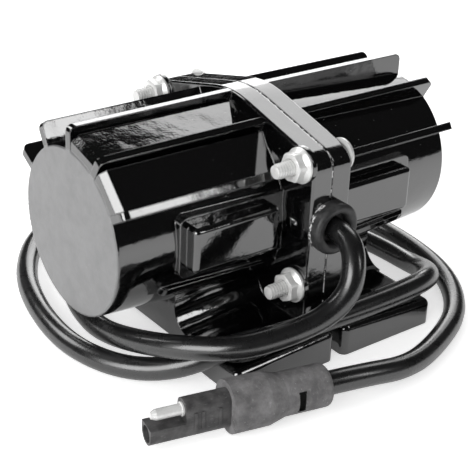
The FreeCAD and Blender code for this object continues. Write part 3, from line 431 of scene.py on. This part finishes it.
def boot_rubber():
    """Matt charcoal rubber with clouds, pale scuffs and tiny sparkles, and painted shade,
    near black, in the slot at each side of the boot's neck."""
    material, net = finish("boot_rubber")
    here = net.place()
    grain = net.noise(here, 1500.0, 3.0, 0.7)
    cloud = net.noise(here, 170.0, 4.0, 0.65)
    scuff = net.noise(net.place((3.0, 1.0, 1.0)), 420.0, 4.0, 0.7).between(0.58, 0.76)
    spark = net.cells(here, 700.0).below(0.09) * net.noise(here, 300.0).above(0.52)
    x, y, z = net.axes(here)
    ahead, left = x - BOOT_END[0], y - BOOT_END[1]
    along = ahead * BOOT_WAY[0] + left * BOOT_WAY[1] - SLOT_PLACE
    side = left * BOOT_WAY[0] - ahead * BOOT_WAY[1]
    # Painted shade: near black inside the slot.
    slot = (abs(along).below(SLOT_HALF_WIDTH) * abs(side).below(SLOT_MOUTH)
            * abs(z - BOOT_HEIGHT).below(SLOT_HALF_HEIGHT))
    body = net.mix(cloud.between(0.35, 0.68), colours().boot, colours().boot_cloud)
    rubbed = net.mix(scuff * 0.5 + spark, body, colours().boot_scuff)
    net.surface(Base_Color=net.mix(slot, rubbed, colours().slot),
                Roughness=0.5 + grain * 0.2 + slot * 0.3,
                Normal=net.bump(grain, 0.00014, 0.5))
    return material


def plug_plastic():
    """Charcoal moulded plastic with a fine eroded texture and rubbed edges."""
    material, net = finish("plug_plastic")
    here = net.place()
    grain = net.noise(here, 2000.0, 2.0)
    cloud = net.noise(here, 220.0, 3.0)
    rub = net.noise(net.place((1.0, 1.0, 4.0)), 500.0, 3.0, 0.7).between(0.6, 0.75)
    body = net.mix(cloud.between(0.35, 0.65), colours().plug, colours().plug_cloud)
    net.surface(Base_Color=net.mix(rub * 0.5, body, colours().plug_rub),
                Roughness=0.34 + grain * 0.16,
                Normal=net.bump(grain, 0.00014, 0.5, net.soft_edges(0.0003)))
    return material


def grommet_rubber():
    """Smooth dark rubber with a dull bloom, and pale flecks where its left edge meets the
    flange: painted highlights on the rim."""
    material, net = finish("grommet_rubber")
    here = net.place()
    bloom = net.noise(here, 260.0, 4.0, 0.65)
    x, y, _ = net.axes(here)
    # Painted highlights: pale flecks on the rim next to the flange.
    edge = y.above(-FLANGE_HALF_WIDTH - GLINT_REACH) * x.below(GLINT_SIDE)
    glint = net.noise(here, 520.0, 3.0, 0.7).between(0.5, 0.55) * edge
    rubber = net.mix(bloom.between(0.45, 0.75), colours().rubber, colours().bloom)
    net.surface(Base_Color=net.mix(glint, rubber, colours().glints),
                Roughness=0.34 + bloom * 0.2,
                Normal=net.bump(bloom, 0.00015, 0.4))
    return material


def metal(name, base, stain, rough, stretch=(1.0, 1.0, 1.0), scale=500.0, metallic=1.0):
    """A worked metal, or a plain solid, with a colour, stains and fine marks that run
    along the axis where stretch is least."""
    material, net = finish(name)
    marks = net.noise(net.place(stretch), scale, 3.0, 0.6)
    cloud = net.noise(net.place(), scale * 0.3, 3.0)
    net.surface(Base_Color=net.mix(cloud.between(0.35, 0.7), base, stain),
                Metallic=metallic, Roughness=rough + marks * 0.15,
                Normal=net.bump(marks, 0.00004, 0.4))
    return material


# ---------------------------------------------------------------- surfaces
def quads(index):
    """Corner numbers of the faces between the points of a grid."""
    return np.stack([index[:-1, :-1], index[:-1, 1:], index[1:, 1:], index[1:, :-1]],
                    axis=-1).reshape(-1, 4)


def skin(name, grids, material):
    """One piece on the casing from grids of points; each grid is (points, around, along)
    and closes on itself in the directions that its flags name."""
    corners, faces, offset = [], [], 0
    for points, around, along in grids:
        rows, columns = points.shape[:2]
        index = np.arange(rows * columns).reshape(rows, columns) + offset
        if along:
            index = np.concatenate([index, index[:1]], axis=0)
        if around:
            index = np.concatenate([index, index[:, :1]], axis=1)
        corners.append(points.reshape(-1, 3))
        faces.append(quads(index))
        offset += rows * columns
    mesh = bpy.data.meshes.new(name)
    mesh.from_pydata(np.concatenate(corners).tolist(), [],
                     np.concatenate(faces).tolist())
    mesh.materials.append(material)
    piece = bpy.data.objects.new(name, mesh)
    bpy.context.scene.collection.objects.link(piece)
    tidy(mesh)
    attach(piece, CASING)
    return piece


def tidy(mesh):
    """Merges doubled points at poles and seams and turns every face outwards."""
    work = bmesh.new()
    work.from_mesh(mesh)
    bmesh.ops.remove_doubles(work, verts=work.verts, dist=1e-7)
    bmesh.ops.recalc_face_normals(work, faces=work.faces)
    work.to_mesh(mesh)
    work.free()
    mesh.polygons.foreach_set("use_smooth", np.ones(len(mesh.polygons), dtype=bool))
    mesh.set_sharp_from_angle(angle=math.radians(SMOOTH_ANGLE))


def hexagon_reach(angle, flats):
    """Radius of a hexagon at each angle: half its flats over the cosine of the angle
    from the nearest flat's middle."""
    third = math.pi / 3
    return flats / 2 / np.cos((angle + third / 2) % third - third / 2)


def turn_round(around):
    """Angles of one full turn, as a row."""
    return np.linspace(0, 2 * math.pi, around, endpoint=False)[None, :]


def along_x(radius, angle, x, y, z):
    """Points of a surface round an X line through y, z."""
    return np.stack([x + 0 * angle, y + radius * np.cos(angle),
                     z + radius * np.sin(angle)], axis=-1)


def hexed(profile, flats, x0, y, z, turn, around=96):
    """A hexagon fastener: a profile of (height, radius, hexed) turned round X, where a
    hexed ring takes the smaller of its radius and the hexagon's reach."""
    height, radius, is_hex = (np.array(column)[:, None] for column in zip(*profile))
    angle = turn_round(around)
    reach = hexagon_reach(angle - turn, flats)
    ring = np.where(is_hex > 0, np.minimum(radius, reach), radius + 0 * angle)
    return along_x(ring, angle + 0 * ring, x0 + height + 0 * angle, y, z)


def thread(x0, x1, y, z, radius, pitch, depth, around=40, steps=8):
    """A screw thread from x0 up to x1: the radius falls by depth between ridges, and the
    ridge climbs one pitch a turn. Both ends close on the axis, the first with a short
    cone."""
    rows = int((x1 - x0) / pitch * steps) + 1
    x = np.linspace(x0, x1, rows)[:, None]
    angle = turn_round(around)
    phase = ((x - x0) / pitch + angle / (2 * math.pi)) % 1.0
    ridge = np.clip(RIDGE_HEIGHT - np.abs(phase - 0.5) * RIDGE_STEEPNESS, 0.0, 1.0)
    cone = np.clip((x - x0) / (pitch * CONE_PITCHES), 0.0, 1.0)
    ring = radius - depth + depth * ridge * cone - depth * CONE_DEPTH * (1 - cone)
    ring[0] *= TIP_SHARE
    body = along_x(ring, angle + 0 * ring, x + 0 * angle, y, z)
    start = along_x(0 * ring[:1], angle, x[:1] + 0 * angle, y, z)
    end = along_x(0 * ring[:1], angle, x[-1:] + 0 * angle, y, z)
    return np.concatenate([start, body, end])


def dome(crown, seat, y, z, radius, around=64, steps=14):
    """A cup head: the radius is the sine and the height the cosine of one angle, which
    runs from the crown to a short upright rim, with a flat seat behind."""
    rim = HEAD_RIM * (crown - seat)
    lean = np.linspace(0.0, math.pi / 2, steps)
    height = np.concatenate([rim + (crown - seat - rim) * np.cos(lean), [0.0, 0.0]])
    reach = np.concatenate([radius * np.sin(lean), [radius, 0.0]])
    angle = turn_round(around)
    return along_x(reach[:, None] + 0 * angle, angle + 0 * reach[:, None],
                   seat + height[:, None] + 0 * angle, y, z)


def flange_line(inset):
    """The joint's outline above the feet, in Y and Z, with its outward directions: an
    arc over the axis, a straight shoulder and a round corner on each side, then a
    straight side down to the foot, all moved in by inset."""
    half, slope = FLANGE_HALF_WIDTH - inset, math.radians(SHOULDER_SLOPE)
    crown, corner = CROWN_RADIUS - inset, FLANGE_CORNER - inset
    middle_y = half - corner
    middle_z = (crown - corner) / math.cos(slope) - middle_y * math.tan(slope)
    lean = np.linspace(0.0, slope, 8)
    bend = np.linspace(slope, math.pi / 2, 10)
    drop = np.linspace(0.0, 1.0, 40)[1:]
    lowest = FOOT_TOP - AXIS_HEIGHT
    y = np.concatenate([crown * np.sin(lean), middle_y + corner * np.sin(bend),
                        half + 0 * drop])
    z = np.concatenate([crown * np.cos(lean), middle_z + corner * np.cos(bend),
                        middle_z + (lowest - middle_z) * drop])
    out = np.concatenate([lean, bend, math.pi / 2 + 0 * drop])
    y, z, out = (np.concatenate([sign * half_line[:0:-1], half_line])
                 for sign, half_line in ((-1, y), (1, z), (-1, out)))
    return y, z + AXIS_HEIGHT, out


def bead(inset, radius, around=10):
    """A thin round bead at x = 0 along the joint's outline, closed at both ends."""
    y, z, out = (values[:, None] for values in flange_line(inset))
    turn = turn_round(around)
    ring = np.full((len(y), 1), radius)
    ring[0] = ring[-1] = 0.0
    return np.stack([ring * np.sin(turn), y + ring * np.cos(turn) * np.sin(out),
                     z + ring * np.cos(turn) * np.cos(out)], axis=-1)


def fastener_axis(name):
    """Middle of a fastener across its line, and its ends along X."""
    low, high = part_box(name)
    return (low[1] + high[1]) / 2, (low[2] + high[2]) / 2, low[0], high[0]


# ---------------------------------------------------------------- operators
class MakeStage(bpy.types.Operator):
    """Camera, soft lights, white surround and floor."""
    bl_idname = "vibrator.make_stage"
    bl_label = "Stage and camera"

    def execute(self, context):
        self.camera(context.scene)
        self.world(context.scene)
        self.floor(context.scene)
        for name, lamp in LAMPS.items():
            self.lamp(name, *lamp)
        return {"FINISHED"}

    def camera(self, scene):
        """Camera turned by its yaw, pitch and roll about the point it stands at."""
        level_ahead = math.cos(CAMERA_PITCH)
        ahead = np.array([math.sin(CAMERA_YAW) * level_ahead,
                          math.cos(CAMERA_YAW) * level_ahead, -math.sin(CAMERA_PITCH)])
        level = np.array([math.cos(CAMERA_YAW), -math.sin(CAMERA_YAW), 0.0])
        above = np.cross(level, ahead)
        right = level * math.cos(CAMERA_ROLL) + above * math.sin(CAMERA_ROLL)
        up = above * math.cos(CAMERA_ROLL) - level * math.sin(CAMERA_ROLL)
        turned = Matrix(np.stack([right, up, -ahead], axis=1).tolist()).to_4x4()
        lens = bpy.data.cameras.new("camera")
        lens.sensor_width = 36.0
        lens.lens = CAMERA_LENS
        lens.clip_start = 0.02
        lens.clip_end = 20.0
        eye = bpy.data.objects.new("camera", lens)
        eye.matrix_world = Matrix.Translation(CAMERA_PLACE) @ turned
        scene.collection.objects.link(eye)
        scene.camera = eye

    def world(self, scene):
        """White for the eye, soft grey for matt surfaces and dark in reflections."""
        world = bpy.data.worlds.new("surround")
        world.use_nodes = True
        scene.world = world
        net = Net(world.node_tree)
        eye, glossy = net.ray("Camera"), net.ray("Glossy")
        dimmed = SURROUND_MATT - glossy * (SURROUND_MATT - SURROUND_MIRRORED)
        level = eye + (1.0 - eye) * dimmed
        shader = net.add("ShaderNodeBackground", {},
                         {"Color": (1.0, 1.0, 1.0), "Strength": level})
        net.close(shader, "ShaderNodeOutputWorld")

    def floor(self, scene):
        """A flat white sheet under the feet, with a light of its own for the eye and in
        reflections, weak enough to keep the shadow."""
        material, net = finish("floor_paper")
        tooth = net.noise(net.place(), 40.0, 2.0)
        glow = net.ray("Camera") * FLOOR_SEEN + net.ray("Glossy") * FLOOR_MIRRORED
        net.surface(Base_Color=net.mix(tooth, colours().floor, colours().floor_tooth),
                    Roughness=0.9, Specular_IOR_Level=0.1, Emission_Strength=1.0,
                    Emission_Color=net.mix(glow, (0.0, 0.0, 0.0), (1.0, 1.0, 1.0)))
        corner = np.linspace(-FLOOR_REACH, FLOOR_REACH, 3)
        x, y = np.meshgrid(corner, corner)
        points = np.stack([x, y, 0 * x], axis=-1).reshape(-1, 3)
        mesh = bpy.data.meshes.new("floor")
        mesh.from_pydata(points.tolist(), [], quads(np.arange(9).reshape(3, 3)).tolist())
        mesh.materials.append(material)
        sheet = bpy.data.objects.new("floor", mesh)
        scene.collection.objects.link(sheet)

    def lamp(self, name, bearing, rise, width, height, radiance):
        """A soft box that faces the motor from a fixed distance. Its watts are pi times
        its area times its radiance."""
        light = bpy.data.lights.new(name, "AREA")
        light.shape = "RECTANGLE"
        light.size = width
        light.size_y = height
        light.energy = math.pi * width * height * radiance
        lamp = bpy.data.objects.new(name, light)
        turn, lift = math.radians(bearing), math.radians(rise)
        away = np.array([math.cos(turn) * math.cos(lift), math.sin(turn) * math.cos(lift),
                         math.sin(lift)])
        right = np.cross(-away, (0.0, 0.0, 1.0))
        right /= np.linalg.norm(right)
        up = np.cross(right, -away)
        turned = Matrix(np.stack([right, up, away], axis=1).tolist()).to_4x4()
        spot = away * LAMP_DISTANCE + np.array([0.0, 0.0, AXIS_HEIGHT])
        lamp.matrix_world = Matrix.Translation(spot.tolist()) @ turned
        bpy.context.scene.collection.objects.link(lamp)


class MakeCord(bpy.types.Operator):
    """The supply cord, on its smooth route."""
    bl_idname = "vibrator.make_cord"
    bl_label = "Supply cord"

    def execute(self, context):
        curve = bpy.data.curves.new("supply_cord", "CURVE")
        curve.dimensions = "3D"
        spline = curve.splines.new("NURBS")
        spline.points.add(len(CORD_ROUTE) - 1)
        for point, place in zip(spline.points, CORD_ROUTE):
            point.co = (*place, 1.0)
        spline.order_u = 3
        spline.use_endpoint_u = True
        spline.resolution_u = 8
        curve.bevel_depth = sizes().cord_radius
        curve.bevel_resolution = 7
        curve.use_fill_caps = True
        curve.materials.append(cord_sheath())
        piece = bpy.data.objects.new("supply_cord", curve)
        context.scene.collection.objects.link(piece)
        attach(piece, CASING)
        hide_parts("power_cord")
        return {"FINISHED"}


class MakeCase(bpy.types.Operator):
    """Coats of the two half shells, and the gasket and bead between them."""
    bl_idname = "vibrator.make_case"
    bl_label = "Case"

    def execute(self, context):
        dress(gloss_coat(), "left_housing", "right_housing")
        dress(metal("gasket_sheet", (0.03, 0.03, 0.03), (0.06, 0.06, 0.06), 0.6,
                    metallic=0.0), "flange_gasket")
        radius = sizes().bead_radius
        skin("seam_bead", [(bead(radius, radius), True, False)], seam_paint())
        return {"FINISHED"}


class MakeFasteners(bpy.types.Operator):
    """Threaded cup head bolts and hexagon flange nuts."""
    bl_idname = "vibrator.make_fasteners"
    bl_label = "Flange bolts and nuts"

    def execute(self, context):
        plate = zinc_plate()
        for number, (bolt, nut) in enumerate(zip(BOLT_NODES, NUT_NODES), start=1):
            grids = self.nut(nut, NUT_TURN * number)
            piece = skin(f"hex_flange_nut_{number}", grids, plate)
            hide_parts(nut)
            piece = skin(f"cup_head_bolt_{number}", self.bolt(bolt), plate)
            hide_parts(bolt)
        return {"FINISHED"}

    def nut(self, node, turn):
        """A hexagon with a chamfered top and a countersunk bore, and a round collar with
        a coned back under it."""
        size = sizes()
        y, z, top, base = fastener_axis(node)
        tall = base - top
        bore = size.bolt_radius + NUT_CLEARANCE
        flats = size.nut_flats
        corner = flats / 2 / math.cos(math.pi / 6)
        prism = [(NUT_CHAMFER, bore, 0), (0.0, bore + NUT_COUNTERSINK, 0),
                 (0.0, flats * 0.46, 0), (NUT_BREAK, corner * 0.94, 1),
                 (NUT_CHAMFER, corner, 1), (tall, corner, 1), (tall, bore, 0)]
        cone = tall - size.collar_height
        rim = tall - size.collar_rim
        reach = size.collar_radius
        collar = [(cone, bore, 0), (cone, flats * 0.51, 0),
                  (rim - COLLAR_ROUND, reach - COLLAR_STEP, 0),
                  (rim + COLLAR_ROUND, reach, 0), (tall - COLLAR_ROUND, reach, 0),
                  (tall, reach - COLLAR_ROUND, 0), (tall, bore, 0)]
        return [(hexed(rings, flats, top, y, z, turn), True, True)
                for rings in (prism, collar)]

    def bolt(self, node):
        """A cup head and a threaded shank."""
        size = sizes()
        y, z, tip, crown = fastener_axis(node)
        seat = crown - size.dome_height
        head = dome(crown, seat, y, z, size.dome_radius)
        shank = thread(tip, seat, y, z, size.bolt_radius, size.thread_pitch,
                       size.thread_depth)
        return [(head, True, False), (shank, True, False)]


class MakeGrommet(bpy.types.Operator):
    """Rubber grommet at the cord's exit."""
    bl_idname = "vibrator.make_grommet"
    bl_label = "Grommet"

    def execute(self, context):
        dress(grommet_rubber(), "cable_grommet")
        return {"FINISHED"}


class MakeConnector(bpy.types.Operator):
    """Boot, body and contacts of the two-pole connector."""
    bl_idname = "vibrator.make_connector"
    bl_label = "Connector"

    def execute(self, context):
        dress(boot_rubber(), "connector_boot")
        dress(plug_plastic(), "connector_body")
        dress(zinc_plate(), "connector_pin")
        dress(metal("contact_plate", (0.85, 0.85, 0.84), (0.7, 0.7, 0.69), 0.12),
              "connector_socket")
        return {"FINISHED"}


class MakeMotor(bpy.types.Operator):
    """Finishes of the motor, bearings, shaft and weights inside the case."""
    bl_idname = "vibrator.make_motor"
    bl_label = "Motor and weights"

    def execute(self, context):
        steel = metal("shell_steel", (0.5, 0.51, 0.53), (0.36, 0.37, 0.4), 0.3)
        ground = metal("ground_steel", (0.62, 0.63, 0.65), (0.5, 0.51, 0.53), 0.15,
                       stretch=(1.0, 12.0, 12.0))
        iron = metal("weight_iron", (0.2, 0.2, 0.21), (0.12, 0.11, 0.11), 0.45)
        dress(steel, "field_shell", "left_shim_washer", "right_wave_washer")
        dress(ground, "rotor_shaft", *[f"{side}_bearing_{piece}"
                                       for side in ("left", "right")
                                       for piece in ("outer_ring", "inner_ring",
                                                     "ball_cage")])
        dress(iron, "left_weight", "right_weight")
        dress(zinc_plate(), "left_weight_screw", "right_weight_screw")
        dress(metal("ferrite", (0.11, 0.11, 0.12), (0.16, 0.16, 0.165), 0.6,
                    metallic=0.0), "front_magnet", "rear_magnet")
        dress(metal("laminations", (0.42, 0.42, 0.44), (0.25, 0.24, 0.25), 0.35,
                    stretch=(14.0, 1.0, 1.0), scale=300.0), "armature_core")
        dress(metal("enamelled_copper", (0.5, 0.19, 0.07), (0.36, 0.12, 0.04), 0.28,
                    stretch=(1.0, 9.0, 9.0), scale=600.0), "armature_windings")
        dress(metal("turned_copper", (0.72, 0.36, 0.2), (0.5, 0.24, 0.13), 0.2,
                    stretch=(12.0, 1.0, 1.0)), "commutator")
        dress(metal("card_laminate", (0.3, 0.19, 0.1), (0.22, 0.13, 0.07), 0.5,
                    metallic=0.0), "brush_card")
        dress(metal("brass", (0.78, 0.6, 0.32), (0.6, 0.44, 0.22), 0.25),
              "brush_holder_upper", "brush_holder_lower")
        dress(metal("carbon", (0.03, 0.03, 0.03), (0.06, 0.06, 0.06), 0.5,
                    metallic=0.0), "brush_upper", "brush_lower")
        dress(ground, "brush_spring_upper", "brush_spring_lower")
        dress(metal("red_lead", (0.32, 0.02, 0.02), (0.22, 0.015, 0.015), 0.4,
                    metallic=0.0), "lead_positive")
        dress(metal("black_lead", (0.02, 0.02, 0.02), (0.035, 0.035, 0.035), 0.4,
                    metallic=0.0), "lead_negative")
        return {"FINISHED"}


STEPS = (MakeStage, MakeCord, MakeCase, MakeFasteners, MakeGrommet, MakeConnector,
         MakeMotor)


class VibratorPanel(bpy.types.Panel):
    """Lists the steps, sizes and colours."""
    bl_idname = "VIEW3D_PT_vibrator"
    bl_label = "Vibration motor"
    bl_space_type = "VIEW_3D"
    bl_region_type = "UI"
    bl_category = "Vibrator"

    def draw(self, context):
        for step in STEPS:
            self.layout.operator(step.bl_idname)
        for group in (context.scene.vibrator_sizes, context.scene.vibrator_colours):
            box = self.layout.box()
            for name in group.bl_rna.properties.keys():
                if name not in ("rna_type", "name"):
                    box.prop(group, name)


CLASSES = (VibratorSizes, VibratorColours, *STEPS, VibratorPanel)


def register():
    """Registers the classes and hangs the sizes and colours on the scene."""
    for entry in CLASSES:
        bpy.utils.register_class(entry)
    bpy.types.Scene.vibrator_sizes = PointerProperty(type=VibratorSizes)
    bpy.types.Scene.vibrator_colours = PointerProperty(type=VibratorColours)


def unregister():
    """Takes back what register did."""
    del bpy.types.Scene.vibrator_colours
    del bpy.types.Scene.vibrator_sizes
    for entry in reversed(CLASSES):
        bpy.utils.unregister_class(entry)


def main():
    """Makes everything in order."""
    register()
    bpy.context.scene.view_settings.view_transform = "Standard"
    for step in STEPS:
        family, name = step.bl_idname.split(".")
        getattr(getattr(bpy.ops, family), name)()


if __name__ == "__main__":
    main()
